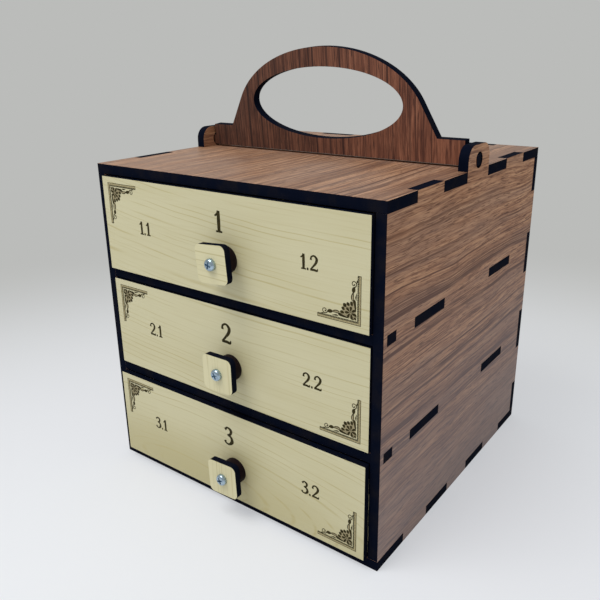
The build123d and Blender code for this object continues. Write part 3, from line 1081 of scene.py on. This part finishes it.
FLOOR_RADIUS = 6.0
FLOOR_SEGMENTS = 96
FLOOR_DROP = 0.1 * MM
FLOOR_ROUGHNESS = 0.6
FLOOR_SHINE = 0.2
DUST_SIZE = (0.25, 0.25, 0.25)
DUST_LEVELS = (0.3, 0.7)
DUST_SHARE = 0.06
# Where the floor's tone turns to the backdrop's, as distances from a point in front of the box
FLOOR_FADE = (0.2, 0.9)
FLOOR_CENTRE = (0.2, -0.3, 0.0)
NEAREST_SEEN = 0.01


class BOX_OT_stage(bpy.types.Operator):
    """Set up the floor, the soft light and the camera"""

    bl_idname = "medicine_box.stage"
    bl_label = "Stage"

    def execute(self, context):
        stage = context.scene.medicine_box.stage
        self.lay_floor(context.scene, stage)
        self.light(context.scene, stage)
        self.aim(context.scene, stage)
        context.scene.view_settings.view_transform = "Standard"
        return {"FINISHED"}

    def lay_floor(self, scene, stage):
        """A wide round floor, pale near the box, that fades to the backdrop's tone."""
        solid = bmesh.new()
        bmesh.ops.create_circle(solid, cap_ends=True, segments=FLOOR_SEGMENTS, radius=FLOOR_RADIUS)
        floor = bpy.data.objects.new("floor", to_mesh("floor", solid))
        floor.location.z = -FLOOR_DROP
        scene.collection.objects.link(floor)
        build = Finish("studio_floor")
        dust = build.noise(build.place, FLAT_SIDEWAYS, DUST_SIZE, detail=3.0)
        dusty = build.spread(dust, *DUST_LEVELS, 0.0, DUST_SHARE)
        tint = build.mix(dusty, rgba(stage.floor), rgba(stage.backdrop))
        build.finish(Base_Color=tint, Roughness=FLOOR_ROUGHNESS, Specular_IOR_Level=FLOOR_SHINE)
        ends = {0: build.place, 1: FLOOR_CENTRE}
        reach = build.node("ShaderNodeVectorMath", ends, output=1, operation="DISTANCE")
        far = build.spread(reach, *FLOOR_FADE)
        glow = build.mix(far, rgba(stage.glow), rgba(stage.backdrop))
        glow = build.node("ShaderNodeEmission", {"Color": glow, "Strength": 1.0})
        shown = build.math("MULTIPLY", build.seen(), build.spread(far, 0.0, 1.0, stage.floor_glow, 1.0))
        both = build.node("ShaderNodeMixShader", {0: shown, 1: build.surface.outputs[0], 2: glow})
        build.tree.links.new(both, build.tree.nodes["Material Output"].inputs["Surface"])
        floor.data.materials.append(build.material)

    def light(self, scene, stage):
        """An even sky, seen as the backdrop, and one soft box above the front left."""
        scene.world = bpy.data.worlds.new("studio")
        scene.world.use_nodes = True
        build = Shader(scene.world.node_tree)
        sky = build.tree.nodes["Background"]
        sky.inputs["Color"].default_value = rgba(stage.sky)
        sky.inputs["Strength"].default_value = stage.sky_strength
        shown = build.node("ShaderNodeBackground", {"Color": rgba(stage.backdrop)})
        both = build.node("ShaderNodeMixShader", {0: build.seen(), 1: sky.outputs[0], 2: shown})
        build.tree.links.new(both, build.tree.nodes["World Output"].inputs["Surface"])
        lamp = bpy.data.lights.new("soft_box", "AREA")
        lamp.shape = "SQUARE"
        lamp.size = stage.key_size
        lamp.energy = stage.key_power
        soft_box = bpy.data.objects.new("soft_box", lamp)
        spot = Vector(stage.key_place)
        turn = ((cad_low + cad_high) / 2 - spot).to_track_quat("-Z", "Y").to_matrix().to_4x4()
        soft_box.matrix_world = Matrix.Translation(spot) @ turn
        scene.collection.objects.link(soft_box)

    def aim(self, scene, stage):
        """The camera, placed and turned as in the photograph."""
        lens = bpy.data.cameras.new("camera")
        lens.sensor_width = SENSOR_WIDTH
        lens.lens = stage.focal_pixels / IMAGE_SIDE * SENSOR_WIDTH
        lens.shift_x = 0.5 - stage.axis_pixel[0] / IMAGE_SIDE
        lens.shift_y = stage.axis_pixel[1] / IMAGE_SIDE - 0.5
        lens.clip_start = NEAREST_SEEN
        azimuth, elevation = stage.azimuth, stage.elevation
        ahead = Vector((-sin(azimuth) * cos(elevation), cos(azimuth) * cos(elevation), -sin(elevation)))
        right = ahead.cross(Vector((0, 0, 1))).normalized()
        turn = Matrix((right, right.cross(ahead), -ahead)).transposed().to_4x4()
        camera = bpy.data.objects.new("camera", lens)
        camera.matrix_world = Matrix.Translation(stage.eye) @ turn @ Matrix.Rotation(stage.roll, 4, "Z")
        scene.collection.objects.link(camera)
        scene.camera = camera


OPERATORS = (
    BOX_OT_cabinet,
    BOX_OT_handle,
    BOX_OT_faces,
    BOX_OT_trays,
    BOX_OT_knobs,
    BOX_OT_ornaments,
    BOX_OT_numbers,
    BOX_OT_stage,
)


class BOX_PT_sidebar(bpy.types.Panel):
    """Lists the steps that dress the box"""

    bl_idname = "BOX_PT_sidebar"
    bl_label = "Medicine Box"
    bl_space_type = "VIEW_3D"
    bl_region_type = "UI"
    bl_category = "Medicine Box"

    def draw(self, context):
        for step in OPERATORS:
            self.layout.operator(step.bl_idname)


CLASSES = (
    CabinetWalnut,
    HandleWalnut,
    DrawerMaple,
    BurntEdge,
    ZincScrew,
    CornerOrnament,
    DrawerNumbers,
    StudioStage,
    MedicineBoxSettings,
    *OPERATORS,
    BOX_PT_sidebar,
)


def register():
    for kind in CLASSES:
        bpy.utils.register_class(kind)
    bpy.types.Scene.medicine_box = PointerProperty(type=MedicineBoxSettings)


def unregister():
    del bpy.types.Scene.medicine_box
    for kind in reversed(CLASSES):
        bpy.utils.unregister_class(kind)


def main():
    """Dress the box step by step."""
    register()
    bpy.ops.medicine_box.cabinet()
    bpy.ops.medicine_box.handle()
    bpy.ops.medicine_box.faces()
    bpy.ops.medicine_box.trays()
    bpy.ops.medicine_box.knobs()
    bpy.ops.medicine_box.ornaments()
    bpy.ops.medicine_box.numbers()
    bpy.ops.medicine_box.stage()


if __name__ == "__main__":
    main()
